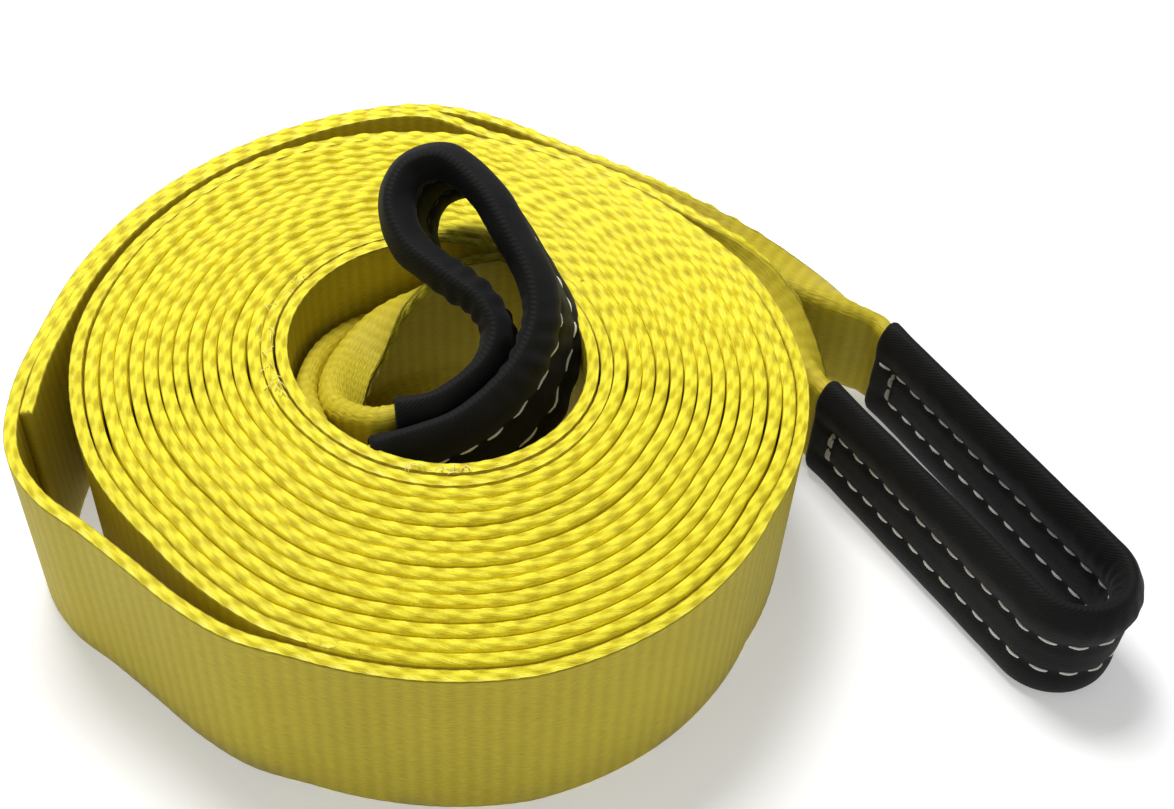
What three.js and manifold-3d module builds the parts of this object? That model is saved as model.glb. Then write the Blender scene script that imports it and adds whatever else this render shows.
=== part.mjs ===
// Tow strap: 3 inch yellow webbing wound into a flat coil that lies on its side, with a black
// sleeved eye at each end. Millimetres, +Z up. Everything is drawn round the coil's centre, and
// the last lines move the strap so that its box stands centred on the floor.

import * as THREE from 'three';
import { mergeVertices } from 'three/addons/utils/BufferGeometryUtils.js';
import Module from 'manifold-3d';

const wasm = await Module();
wasm.setup();

// Webbing: one ply as woven, and its width where it is folded to run through a sleeve
const WEBBING_WIDTH = 76.2;
const PLY = 4.2;
const FOLDED_WIDTH = 41;

// Coil
const TURNS = 16;
const TURN_PITCH = 4.5;
const BORE_RADIUS = 60;
const BORE_SHIFT_X = -1;
const BORE_SHIFT_Y = 6;
const OVAL = 0.04;
const OVAL_ANGLE = THREE.MathUtils.degToRad(140);
const GROOVE_WIDTH = 1.6;
const GROOVE_DEPTH = 1.4;
const COIL_SEGMENTS = 32;

// Sleeves
const SLEEVE_EDGE = 4;
const SLEEVE_WALL = 2.2;
const SLEEVE_ROUND = 3.4;
const FIT_GAP = 0.3;
const MOUTH_OVERRUN = 2;
const MOUTH_LEAD = 8;

// Outer eye, lying out to the right
const OUTER_EYE_ANGLE = THREE.MathUtils.degToRad(-53.1);
const OUTER_EYE_REACH = 102;
const OUTER_EYE_Y = -51.5;
const OUTER_EYE_BEND = 18;
const FAR_LEG_LENGTH = 128;
const NEAR_LEG_LENGTH = 115;
const FAR_LEG_BOW = 7;
const BEND_STEPS = 16;

// Inner eye, standing up out of the bore and leaning back over the turns
const INNER_EYE_LEAN = THREE.MathUtils.degToRad(27.5);
const INNER_EYE_FRONT = 20;
const INNER_EYE_CLEARANCE = 4;
const INNER_EYE_STEPS = 40;
const CURL_LANE = 4.1;

// Stitching: two rows round a face of a sleeve, closed at both ends. The inner eye's legs are
// pressed together, so only its outside face has room for a thread that stands proud.
const THREAD_RADIUS = 0.6;
const THREAD_GAP = 0.5;
const LOWER_ROW = 15;
const UPPER_ROW = 31;
const ROW_END = 10;

// Colours
const YELLOW = 0xd9c71f;
const BLACK = 0x17171a;
const THREAD_WHITE = 0xcfccc0;

const COIL_RADIUS = BORE_RADIUS + TURNS * TURN_PITCH;
const SLEEVE_WIDTH = FOLDED_WIDTH + 2 * SLEEVE_EDGE;
const SLEEVE_THICKNESS = PLY + 2 * SLEEVE_WALL;
const UP = new THREE.Vector3(0, 0, 1);

// Turns a closed geometry into a solid for joining and cutting
function solidOf(geometry) {
  const bare = geometry.clone();
  bare.deleteAttribute('normal');
  bare.deleteAttribute('uv');
  const merged = mergeVertices(bare, 1e-4);
  const vertProperties = Float32Array.from(merged.attributes.position.array);
  const triVerts = Uint32Array.from(merged.index.array);
  return new wasm.Manifold(new wasm.Mesh({ numProp: 3, vertProperties, triVerts }));
}

// Turns a solid back into a geometry
function geometryOf(solid) {
  const mesh = solid.getMesh();
  const geometry = new THREE.BufferGeometry();
  geometry.setAttribute('position', new THREE.BufferAttribute(Float32Array.from(mesh.vertProperties), 3));
  geometry.setIndex(new THREE.BufferAttribute(Uint32Array.from(mesh.triVerts), 1));
  geometry.computeVertexNormals();
  return geometry;
}

// Moves every vertex of a geometry by a rule
function reshape(geometry, rule) {
  const position = geometry.attributes.position;
  for (let i = 0; i < position.count; i += 1) {
    const moved = rule(new THREE.Vector3().fromBufferAttribute(position, i));
    position.setXYZ(i, moved.x, moved.y, moved.z);
  }
  return geometry;
}

// A smooth line through points
function smoothLine(points) {
  return new THREE.CatmullRomCurve3(points, false, 'centripetal');
}

// A centred rectangle, thickness across and width up, with round corners where round isn't 0
function bandSection(thickness, width, round) {
  const x = thickness / 2;
  const y = width / 2;
  const section = new THREE.Shape();
  if (round === 0) {
    section.moveTo(x, y).lineTo(-x, y).lineTo(-x, -y).lineTo(x, -y);
    return section;
  }
  section.absarc(x - round, y - round, round, 0, Math.PI / 2);
  section.absarc(-x + round, y - round, round, Math.PI / 2, Math.PI);
  section.absarc(-x + round, -y + round, round, Math.PI, 1.5 * Math.PI);
  section.absarc(x - round, -y + round, round, 1.5 * Math.PI, 2 * Math.PI);
  return section;
}

// A band bent along a route. The route gives, for 0 to 1 along it, the middle of the band, its
// heading, the direction in which its width stands and its width. Overrun lengthens both ends.
function bandAlong(route, thickness, width, round, steps, overrun = 0) {
  const section = bandSection(thickness, width, round);
  const straight = new THREE.ExtrudeGeometry(section, {
    depth: 1,
    steps,
    bevelEnabled: false,
    curveSegments: 2,
  });
  return reshape(straight, (place) => {
    const at = route(place.z);
    if (place.z === 0) at.middle.addScaledVector(at.heading, -overrun);
    if (place.z === 1) at.middle.addScaledVector(at.heading, overrun);
    const across = new THREE.Vector3().crossVectors(at.stand, at.heading).normalize();
    at.middle.addScaledVector(across, place.x);
    return at.middle.addScaledVector(at.stand, (place.y * at.width) / width);
  });
}

// The coil is a little oval, and its bore sits a little off its centre
function coilPlace(radius, angle) {
  const oval = 1 + OVAL * Math.cos(2 * (angle - OVAL_ANGLE));
  const inward = (COIL_RADIUS - radius) / (COIL_RADIUS - BORE_RADIUS);
  return new THREE.Vector2(
    radius * oval * Math.cos(angle) + BORE_SHIFT_X * inward,
    radius * oval * Math.sin(angle) + BORE_SHIFT_Y * inward,
  );
}

// One end of the coil, from the bore outwards: a flat land for each turn, a groove after each
function coilEnd(level, groove) {
  const corners = [];
  for (let turn = 0; turn < TURNS; turn += 1) {
    const inner = BORE_RADIUS + turn * TURN_PITCH;
    const outer = inner + TURN_PITCH;
    corners.push(new THREE.Vector2(inner + GROOVE_WIDTH / 2, level));
    corners.push(new THREE.Vector2(outer - GROOVE_WIDTH / 2, level));
    corners.push(new THREE.Vector2(outer, groove));
  }
  return corners;
}

// The wound turns as one turned ring
function coil() {
  const under = coilEnd(0, GROOVE_DEPTH);
  const over = coilEnd(WEBBING_WIDTH, WEBBING_WIDTH - GROOVE_DEPTH).reverse();
  const boreTop = new THREE.Vector2(BORE_RADIUS, WEBBING_WIDTH - GROOVE_DEPTH);
  const boreFoot = new THREE.Vector2(BORE_RADIUS, GROOVE_DEPTH);
  const profile = [...under, ...over, boreTop, boreFoot, under[0].clone()];
  const ring = new THREE.LatheGeometry(profile, COIL_SEGMENTS);
  ring.rotateX(Math.PI / 2);
  return reshape(ring, (place) => {
    const plan = coilPlace(Math.hypot(place.x, place.y), Math.atan2(place.y, place.x));
    return new THREE.Vector3(plan.x, plan.y, place.z);
  });
}

// One station of a band that stands on edge: its plan place, its width and its lower edge's level
function station(plan, width = WEBBING_WIDTH, base = 0) {
  return { middle: new THREE.Vector3(plan.x, plan.y, base + width / 2), width };
}

// A station beside the coil: the middle of its ply lies off the outermost turn by a distance
function offCoil([degrees, distance, width]) {
  return station(coilPlace(COIL_RADIUS + distance, THREE.MathUtils.degToRad(degrees)), width);
}

// A route through such stations. Its band is never wider than woven and never below the floor.
function uprightRoute(stations) {
  const line = smoothLine(stations.map(({ middle }) => middle));
  const breadth = smoothLine(stations.map(({ width }, i) => new THREE.Vector3(i, width, 0)));
  return (along) => {
    const heading = line.getTangent(along);
    heading.z = 0;
    const middle = line.getPoint(along);
    const width = Math.min(breadth.getPoint(along).y, WEBBING_WIDTH);
    middle.z = Math.max(middle.z, width / 2);
    return { middle, heading: heading.normalize(), stand: UP, width };
  };
}

// Distances of a sleeve's cross-sections: its mouths, the ends of its stitching, and between
function sections(length, between) {
  return [0, ROW_END, ...between, length - ROW_END, length];
}

// The distance at a share of the way through the cross-sections
function paced(distances, along) {
  const at = along * (distances.length - 1);
  const before = Math.min(Math.floor(at + 1e-6), distances.length - 2);
  return THREE.MathUtils.lerp(distances[before], distances[before + 1], at - before);
}

// The last stations of a folded leg: straight in through a sleeve's mouth
function intoMouth(mouth) {
  return [-MOUTH_LEAD, 0, MOUTH_LEAD / 2].map((distance) => ({
    middle: mouth.middle.clone().addScaledVector(mouth.heading, distance),
    width: FOLDED_WIDTH,
  }));
}

// Both mouths of a sleeve's route, with the heading that leads into the sleeve
function mouthsOf(route) {
  const first = route(FOLDED_WIDTH)(0);
  const last = route(FOLDED_WIDTH)(1);
  last.heading.negate();
  return [first, last];
}

// The outer eye is a U on edge: straight far leg, round tip, straight near leg
const outerTipCentre = new THREE.Vector2(COIL_RADIUS + OUTER_EYE_REACH, OUTER_EYE_Y);
const outerAlong = new THREE.Vector2(Math.cos(OUTER_EYE_ANGLE), Math.sin(OUTER_EYE_ANGLE));
const outerAside = new THREE.Vector2(-outerAlong.y, outerAlong.x);
const tipArc = Math.PI * OUTER_EYE_BEND;
const outerSections = sections(
  FAR_LEG_LENGTH + tipArc + NEAR_LEG_LENGTH,
  Array.from({ length: BEND_STEPS + 1 }, (_, i) => FAR_LEG_LENGTH + (i / BEND_STEPS) * tipArc),
);

function outerEyeRoute(width, standOff = 0, level = SLEEVE_WIDTH / 2) {
  return (along) => {
    const past = paced(outerSections, along) - FAR_LEG_LENGTH;
    const turn = THREE.MathUtils.clamp(past / OUTER_EYE_BEND, 0, Math.PI);
    const beyond = Math.min(past, 0) - Math.max(past - tipArc, 0);
    const plan = outerTipCentre.clone();
    plan.addScaledVector(outerAlong, beyond + OUTER_EYE_BEND * Math.sin(turn));
    plan.addScaledVector(outerAside, OUTER_EYE_BEND * Math.cos(turn));
    const heading = new THREE.Vector3(outerAlong.x, outerAlong.y, 0).applyAxisAngle(UP, -turn);
    const across = new THREE.Vector3().crossVectors(UP, heading);
    const middle = new THREE.Vector3(plan.x, plan.y, level).addScaledVector(across, standOff);
    return { middle, heading, stand: UP, width };
  };
}

const [farMouth, nearMouth] = mouthsOf(outerEyeRoute);

// Where the outer ply leaves the turns, comes round the coil, and stands off it. Each entry is an
// angle and the distance off the outermost turn.
const OUTER_PLY_LOOSE = [
  [-101, -2.3], [-111, -1.6], [-120, 1.5], [-130, 7.5], [-139, 11.5], [-148, 16.2], [-157, 19],
  [-168, 14.9], [180, 9], [166, 6.5], [150, 6.5], [134, 8.9], [118, 14.2], [106, 19.3],
  [98, 20.8], [88, 17.4],
];

// The far leg: nearly straight from there to the mouth, folding as it goes. Each entry is a share
// of the way and the width there.
const FAR_LEG = [[0.19, 74], [0.42, 69], [0.69, 58], [0.86, 47]];

function farLeg() {
  const start = offCoil(OUTER_PLY_LOOSE.at(-1)).middle;
  const way = farMouth.middle.clone().sub(start);
  const bow = new THREE.Vector2(-way.y, way.x).normalize();
  return FAR_LEG.map(([share, width]) => {
    const plan = new THREE.Vector2(start.x + share * way.x, start.y + share * way.y);
    plan.addScaledVector(bow, FAR_LEG_BOW * Math.sin(Math.PI * share));
    return station(plan, width, SLEEVE_EDGE * share);
  });
}

const outerPly = uprightRoute([
  ...OUTER_PLY_LOOSE.map(offCoil),
  ...farLeg(),
  ...intoMouth(farMouth),
]);

// The lap sewn inside the outer ply, from its cut end, then the leg along the coil to the near
// mouth. Each entry is an angle, the distance off the outermost turn and, once folding, the width.
const RETURN_PLY = [
  [-163, 13.4], [-172, 8.6], [180, 4.9], [166, 2.4], [150, 2.4], [134, 4.8], [118, 10.1],
  [106, 15.2], [98, 15.4], [88, 4.5], [76, 1], [58, 1], [42, 1.6, 72], [31, 5, 62],
];

const returnPly = uprightRoute([...RETURN_PLY.map(offCoil), ...intoMouth(nearMouth)]);

// The inner eye's upper rim lies in one leaning plane. Its points are x and the way up the slope,
// in bore radii: outer leg from its mouth, round the tip, and back down the inner leg.
const INNER_RIM = [
  [-0.29, -0.1], [-0.05, -0.01], [0.17, 0.1], [0.35, 0.275], [0.49, 0.485], [0.55, 0.71],
  [0.515, 0.935], [0.35, 1.24], [0.15, 1.515], [-0.1, 1.69], [-0.29, 1.615], [-0.365, 1.38],
  [-0.26, 1.13], [0, 0.935], [0.235, 0.785], [0.335, 0.615], [0.293, 0.445], [0.19, 0.32],
  [0.025, 0.195], [-0.175, 0.14],
];
const UPRIGHT_SLOPE = 0.18;
const LEANING_SLOPE = 0.7;
const rimLine = smoothLine(
  INNER_RIM.map(([x, slope]) => new THREE.Vector3(x, slope, 0).multiplyScalar(BORE_RADIUS)),
);
const rimLength = rimLine.getLength();
const innerSections = sections(
  rimLength,
  Array.from({ length: INNER_EYE_STEPS - 3 }, (_, i) => {
    return ROW_END + ((i + 1) / (INNER_EYE_STEPS - 2)) * (rimLength - 2 * ROW_END);
  }),
);

// The lower rim passes over the back edge of the bore with its clearance
const rimFrontY = INNER_EYE_FRONT - BORE_RADIUS;
const boreBackY = coilPlace(BORE_RADIUS, Math.PI / 2).y;
const rimBackY = boreBackY - SLEEVE_WIDTH * Math.sin(INNER_EYE_LEAN);
const rimBackZ = WEBBING_WIDTH + INNER_EYE_CLEARANCE + SLEEVE_WIDTH * Math.cos(INNER_EYE_LEAN);
const rimFrontZ = rimBackZ - (rimBackY - rimFrontY) * Math.tan(INNER_EYE_LEAN);

function leanedPlace(x, slope) {
  return new THREE.Vector3(
    x,
    rimFrontY + slope * Math.cos(INNER_EYE_LEAN),
    rimFrontZ + slope * Math.sin(INNER_EYE_LEAN),
  );
}

function innerEyeRoute(width, standOff = 0, level = SLEEVE_WIDTH / 2) {
  return (along) => {
    const share = paced(innerSections, along) / rimLength;
    const rim = rimLine.getPointAt(share);
    const ahead = rimLine.getTangentAt(share).add(rim);
    const top = leanedPlace(rim.x, rim.y);
    const heading = leanedPlace(ahead.x, ahead.y).sub(top).normalize();
    const climb = THREE.MathUtils.smoothstep(rim.y / BORE_RADIUS, UPRIGHT_SLOPE, LEANING_SLOPE);
    const lean = INNER_EYE_LEAN * climb;
    const stand = new THREE.Vector3(0, -Math.sin(lean), Math.cos(lean));
    const across = new THREE.Vector3().crossVectors(stand, heading).normalize();
    const middle = top.addScaledVector(stand, level - SLEEVE_WIDTH).addScaledVector(across, standOff);
    return { middle, heading, stand, width };
  };
}

// The inner eye's legs curl from the bore's back wall round its left side to the mouths. Each entry
// is an angle, the distance in from the bore's wall, how far it is folded and how far it has risen.
const CURL = [
  [74, -3, 0, 0], [89, 0.5, 0.12, 0], [107, 6.5, 0.32, 0.03], [131.6, 13.6, 0.46, 0.25],
  [162, 16, 0.57, 0.46], [-167.6, 13, 0.72, 0.64], [-142.4, 9, 0.89, 0.83],
];
const [outerMouth, innerMouth] = mouthsOf(innerEyeRoute);

function curlRoute(lane, mouth) {
  const mouthBase = outerMouth.middle.z - FOLDED_WIDTH / 2;
  const stations = CURL.map(([degrees, distance, fold, rise]) => {
    const plan = coilPlace(BORE_RADIUS - distance - lane, THREE.MathUtils.degToRad(degrees));
    const width = THREE.MathUtils.lerp(WEBBING_WIDTH, FOLDED_WIDTH, fold);
    return station(plan, width, rise * mouthBase);
  });
  return uprightRoute([...stations, ...intoMouth(mouth)]);
}

// A strip of webbing along a route
function ply(route, width, steps) {
  return solidOf(bandAlong(route, PLY, width, 0, steps));
}

// All the webbing is one piece: the turns, the plies that leave them and the legs in the sleeves
function webbing() {
  const strips = [
    ply(outerPly, WEBBING_WIDTH, 60),
    ply(returnPly, WEBBING_WIDTH, 48),
    ply(curlRoute(0, outerMouth), WEBBING_WIDTH, 24),
    ply(curlRoute(CURL_LANE, innerMouth), WEBBING_WIDTH, 24),
    ply(outerEyeRoute(FOLDED_WIDTH), FOLDED_WIDTH, outerSections.length - 1),
    ply(innerEyeRoute(FOLDED_WIDTH), FOLDED_WIDTH, innerSections.length - 1),
  ];
  return geometryOf(strips.reduce((solid, strip) => solid.add(strip), solidOf(coil())));
}

// A sleeve is a flat tube round the folded webbing, open at both mouths
function sleeve(route, steps) {
  const outside = bandAlong(route(SLEEVE_WIDTH), SLEEVE_THICKNESS, SLEEVE_WIDTH, SLEEVE_ROUND, steps);
  const hollowWidth = FOLDED_WIDTH + 2 * FIT_GAP;
  const hollowPly = PLY + 2 * FIT_GAP;
  const hollow = bandAlong(route(hollowWidth), hollowPly, hollowWidth, 0, steps, MOUTH_OVERRUN);
  return geometryOf(solidOf(outside).subtract(solidOf(hollow)));
}

// The thread on one face of a sleeve: out along the lower row and back along the upper one
function stitching(route, face, steps) {
  const row = steps - 2;
  const around = 2 * (row + 1);
  const hoop = 10;
  const standOff = face * (SLEEVE_THICKNESS / 2 + THREAD_GAP + THREAD_RADIUS);
  const loop = new THREE.TorusGeometry(hoop, THREAD_RADIUS, 4, around);
  return reshape(loop, (place) => {
    const turn = Math.atan2(place.y, place.x) / (2 * Math.PI);
    const knot = (Math.round(turn * around) + around) % around;
    const lower = knot <= row;
    const section = 1 + (lower ? knot : around - 1 - knot);
    const swing = Math.hypot(place.x, place.y) - hoop;
    const level = lower ? LOWER_ROW - swing : UPPER_ROW + swing;
    const at = route(SLEEVE_WIDTH, standOff - place.z, level)(section / steps);
    if (section === 1) at.middle.addScaledVector(at.heading, -swing);
    if (section === steps - 1) at.middle.addScaledVector(at.heading, swing);
    return at.middle;
  });
}

const strap = new THREE.Group();

function place(name, geometry, color, roughness) {
  const mesh = new THREE.Mesh(geometry, new THREE.MeshStandardMaterial({ color, roughness, metalness: 0 }));
  mesh.name = name;
  strap.add(mesh);
}

place('webbing', webbing(), YELLOW, 0.55);
const outerSteps = outerSections.length - 1;
place('outer_eye_sleeve', sleeve(outerEyeRoute, outerSteps), BLACK, 0.85);
place('outer_eye_outside_thread', stitching(outerEyeRoute, 1, outerSteps), THREAD_WHITE, 0.6);
place('outer_eye_inside_thread', stitching(outerEyeRoute, -1, outerSteps), THREAD_WHITE, 0.6);
const innerSteps = innerSections.length - 1;
place('inner_eye_sleeve', sleeve(innerEyeRoute, innerSteps), BLACK, 0.85);
place('inner_eye_thread', stitching(innerEyeRoute, -1, innerSteps), THREAD_WHITE, 0.6);

// The box of the whole strap stands centred on the floor
const box = new THREE.Box3().setFromObject(strap);
const middle = box.getCenter(new THREE.Vector3());
strap.position.set(-middle.x, -middle.y, -box.min.z);

const towStrap = new THREE.Group();
towStrap.add(strap);

export default towStrap;
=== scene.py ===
import math

import bpy
import numpy as np
from mathutils import Matrix, Vector


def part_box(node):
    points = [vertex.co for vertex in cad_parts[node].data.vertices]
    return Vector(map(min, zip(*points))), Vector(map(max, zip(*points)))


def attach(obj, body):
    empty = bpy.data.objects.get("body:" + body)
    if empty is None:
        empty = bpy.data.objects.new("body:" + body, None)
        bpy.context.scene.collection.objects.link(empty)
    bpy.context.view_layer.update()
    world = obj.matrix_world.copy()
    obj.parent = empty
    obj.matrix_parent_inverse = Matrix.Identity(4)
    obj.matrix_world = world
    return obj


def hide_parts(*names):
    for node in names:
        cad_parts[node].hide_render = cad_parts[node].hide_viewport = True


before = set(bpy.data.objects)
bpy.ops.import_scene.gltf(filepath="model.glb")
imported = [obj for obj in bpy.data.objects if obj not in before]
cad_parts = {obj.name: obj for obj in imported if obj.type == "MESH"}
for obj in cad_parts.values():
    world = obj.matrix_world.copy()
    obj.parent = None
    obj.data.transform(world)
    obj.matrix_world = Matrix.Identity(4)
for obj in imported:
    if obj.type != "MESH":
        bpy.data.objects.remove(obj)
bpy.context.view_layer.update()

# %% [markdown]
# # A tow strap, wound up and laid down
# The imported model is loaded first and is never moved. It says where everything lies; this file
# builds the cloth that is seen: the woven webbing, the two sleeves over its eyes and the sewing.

MM = 0.001
rng = np.random.default_rng(1906)

# %% [markdown]
# ## One drawing board for the whole strap
# The shape is drawn in millimetres round the coil's centre, as a maker would lay it out, and only
# turned into metres when a mesh is made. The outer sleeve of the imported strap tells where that
# centre lies: its tip is as far out as the coil's radius plus the eye's reach and bend.

# %% Sizes and the coil's centre
WEBBING = 76.2
PLY = 4.2
COIL_RADIUS = 132.0
BORE_RADIUS = 60.0
BORE_SHIFT = np.array([-1.0, 6.0])
OVAL = 0.04
OVAL_ANGLE = 140.0
EYE_REACH = 102.0
EYE_Y = -51.5
EYE_BEND = 18.0
EYE_ANGLE = -53.1
FAR_LEG = 128.0
NEAR_LEG = 115.0
FOLDED = 41.0
SLEEVE_EDGE = 4.0
SLEEVE_WIDTH = FOLDED + 2 * SLEEVE_EDGE
SLEEVE_THICKNESS = 8.6
UP = np.array([0.0, 0.0, 1.0])

sleeve_low, sleeve_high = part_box("outer_eye_sleeve")
half_eye = EYE_BEND + SLEEVE_THICKNESS / 2
CENTRE = np.array([
    sleeve_high.x / MM - (COIL_RADIUS + EYE_REACH + half_eye),
    sleeve_low.y / MM - (EYE_Y - half_eye),
    0.0,
])
print("coil centre, mm:", CENTRE.round(2))


def coil_place(radius, degrees):
    """Plan place on the coil, which is a little oval and has its bore a little off centre."""
    radius, degrees = np.broadcast_arrays(np.asarray(radius, float), np.asarray(degrees, float))
    angle = np.radians(degrees)
    oval = 1 + OVAL * np.cos(2 * (angle - math.radians(OVAL_ANGLE)))
    inward = (COIL_RADIUS - radius) / (COIL_RADIUS - BORE_RADIUS)
    ray = np.stack([np.cos(angle), np.sin(angle)], -1)
    return (radius * oval)[..., None] * ray + inward[..., None] * BORE_SHIFT


def walked(places):
    """Distance walked to each of a row of places."""
    return np.concatenate([[0], np.cumsum(np.linalg.norm(np.diff(places, axis=0), axis=1))])


def unit(ways):
    return ways / np.linalg.norm(ways, axis=1, keepdims=True)


def tube_faces(count, ring):
    """Faces round a section of ring points at count stations, with both ends shut."""
    a = np.arange(count - 1)[:, None] * ring
    k = np.arange(ring)[None]
    n = (k + 1) % ring
    quads = np.stack([a + k, a + n, a + ring + n, a + ring + k], -1).reshape(-1, 4)
    return quads.tolist() + [tuple(reversed(range(ring))), tuple(range((count - 1) * ring, count * ring))]


def mesh_piece(name, points, faces, material, uv=None, edge=None):
    """A named mesh in the strap's frame from points in millimetres round the coil's centre."""
    mesh = bpy.data.meshes.new(name)
    mesh.from_pydata(((np.asarray(points) + CENTRE) * MM).tolist(), [], faces)
    corner = np.empty(len(mesh.loops), np.int32)
    mesh.loops.foreach_get("vertex_index", corner)
    for layer_name, values in (("cloth", uv), ("edge", edge)):
        if values is not None:
            layer = mesh.uv_layers.new(name=layer_name)
            layer.data.foreach_set("uv", np.asarray(values, np.float32)[corner].ravel())
    mesh.polygons.foreach_set("use_smooth", [True] * len(mesh.polygons))
    mesh.materials.append(material)
    piece = bpy.data.objects.new(name, mesh)
    bpy.context.scene.collection.objects.link(piece)
    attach(piece, "root")
    return piece


# %% [markdown]
# ## The camera
# The strap is seen from about 46 degrees above, from half a metre, with the camera turned a little
# about its own axis. The camera could be placed by eye, but it is worked out from a place to look
# at, a distance and two angles, so that each can be changed by itself.

# %% Camera
LOOK_AT = np.array([54.4, -20.1, WEBBING])
CAMERA_FAR = 544.3
CAMERA_HIGH = 46.0
CAMERA_ROLL = 4.3
PHOTO_WIDE = 1174
FOCAL_PIXELS = 1550

high = math.radians(CAMERA_HIGH)
camera_data = bpy.data.cameras.new("camera")
camera_data.sensor_width = 36.0
camera_data.lens = FOCAL_PIXELS / PHOTO_WIDE * camera_data.sensor_width
camera_data.clip_start = 0.01
camera = bpy.data.objects.new("camera", camera_data)
bpy.context.scene.collection.objects.link(camera)
camera_at = (LOOK_AT + CENTRE + CAMERA_FAR * np.array([0, -math.cos(high), math.sin(high)])) * MM
turn = Matrix.Rotation(math.pi / 2 - high, 4, "X") @ Matrix.Rotation(math.radians(CAMERA_ROLL), 4, "Z")
camera.matrix_world = Matrix.Translation(Vector(camera_at)) @ turn
bpy.context.scene.camera = camera
print("camera at, m:", camera_at.round(4))

# %% [markdown]
# ## The floor and the light
# The strap lies on a plain pale surface in soft light. A photographer's tent could be built round it, but
# two soft lights, a pale room and a floor that glows a little give the same even light, in which the weave's
# relief and the shade and highlights painted into its colour make the light and dark.

# %% Floor, studio lights and the pale room
def plain_material(name, color, roughness, glow):
    material = bpy.data.materials.new(name)
    material.use_nodes = True
    shader = material.node_tree.nodes["Principled BSDF"]
    shader.inputs["Base Color"].default_value = (*color, 1)
    shader.inputs["Roughness"].default_value = roughness
    shader.inputs["Emission Color"].default_value = (1, 1, 1, 1)
    shader.inputs["Emission Strength"].default_value = glow
    return material


floor_mesh = bpy.data.meshes.new("floor")
floor_mesh.from_pydata([(-6, -6, 0), (6, -6, 0), (6, 6, 0), (-6, 6, 0)], [], [(0, 1, 2, 3)])
floor_mesh.materials.append(plain_material("pale_floor", (0.76, 0.76, 0.76), 0.9, 0.33))
floor = bpy.data.objects.new("floor", floor_mesh)
bpy.context.scene.collection.objects.link(floor)


def soft_light(name, place, watts, size):
    """A square soft light that faces the coil."""
    data = bpy.data.lights.new(name, "AREA")
    data.energy = watts
    data.size = size
    light = bpy.data.objects.new(name, data)
    bpy.context.scene.collection.objects.link(light)
    light.location = place
    light.rotation_euler = (-Vector(place)).to_track_quat("-Z", "Y").to_euler()


soft_light("high_light", (-0.35, 0.55, 1.4), 24, 0.6)
soft_light("front_light", (0.3, -1.6, 0.9), 1.4, 1.2)
room = bpy.data.worlds.new("pale_room")
room.use_nodes = True
room.node_tree.nodes["Background"].inputs["Color"].default_value = (1, 1, 1, 1)
room.node_tree.nodes["Background"].inputs["Strength"].default_value = 0.34
bpy.context.scene.world = room
bpy.context.scene.view_settings.view_transform = "Standard"

# %% [markdown]
# ## Webbing as a swept ply
# Tow webbing is one thick ply. Its face shows crosswise ribs, and each edge, the selvedge, shows
# two staggered rows of leaf-shaped yarn floats, because the weft turns back there round one yarn
# after the other. It could be a plain band with a bump texture, but wound into a coil the edges are
# most of what is seen, so the floats and the ribs are made in the mesh: a closed section of a few
# points is swept along a line, and the points rise and fall with the distance along it.

# %% The section of a ply and its sweep
RIB = 5.4
FLOAT_PERIOD = 11.0
FLOAT_RISE = 1.15
EDGE_SUNK = 0.87
RIB_RISE = 0.16
STEP = FLOAT_PERIOD / 8
SHOULDER = 0.5
CROWN_SHARE = 0.35
CORNER = 0.94
TOP_ACROSS = np.array([-0.5, -0.27, 0.0, 0.27, 0.5])
TOP_DROP = np.array([1.0, 0.25, 0.75, 0.25, 1.0])


def leaf(phase):
    """How high a float stands, from 0 between two floats to 1 at its middle."""
    return np.clip(np.cos(np.pi * phase) ** 2, 0, 1) ** 0.8


def float_rises(run):
    """How far each of the five places across a selvedge is raised, at distances along the ply."""
    first = leaf(run / FLOAT_PERIOD)
    second = leaf(run / FLOAT_PERIOD + 0.5)
    still = np.zeros(len(run))
    return [still, first, CROWN_SHARE * (first + second), second, still]


def face_ribs(run):
    return RIB_RISE * np.cos(2 * np.pi * run / RIB)


def upright_ply(name, line, material, thick):
    """Sweeps an unfolded ply, standing on edge, along a line of middles."""
    run = walked(line)
    across = unit(np.cross(UP, unit(np.gradient(line, axis=0))))
    rises = float_rises(run)
    columns = []
    for side in (1, -1):
        for i, place in enumerate(side * TOP_ACROSS):
            top = WEBBING / 2 - EDGE_SUNK - SHOULDER * TOP_DROP[i]
            up = side * (top + FLOAT_RISE * rises[i if side > 0 else 4 - i])
            out = place * thick * (CORNER if abs(place) == 0.5 else 1)
            columns.append((out, up, place * thick, 1.0))
        columns.append((side * (0.5 * thick + face_ribs(run)), np.zeros(len(run)), 0.0, 0.0))
    points, uv, edge = [], [], []
    for out, up, place, rim_share in columns:
        points.append(line + across * np.broadcast_to(out, run.shape)[:, None] + UP * up[:, None])
        uv.append(np.stack([run * MM, up * MM], 1))
        edge.append(np.broadcast_to((place * MM, rim_share), (len(run), 2)))
    points, uv, edge = (np.stack(part, 1).reshape(-1, part[0].shape[1]) for part in (points, uv, edge))
    piece = mesh_piece(name, points, tube_faces(len(run), len(columns)), material, uv, edge)
    piece["run_mm"] = float(run[-1])
    return piece


# %% [markdown]
# ## Words for wiring a finish
# A finish is a small net of nodes. They could be joined by hand in the node editor, but in a script
# a few short words for adding, joining, reckoning and mixing keep each finish readable.

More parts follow.
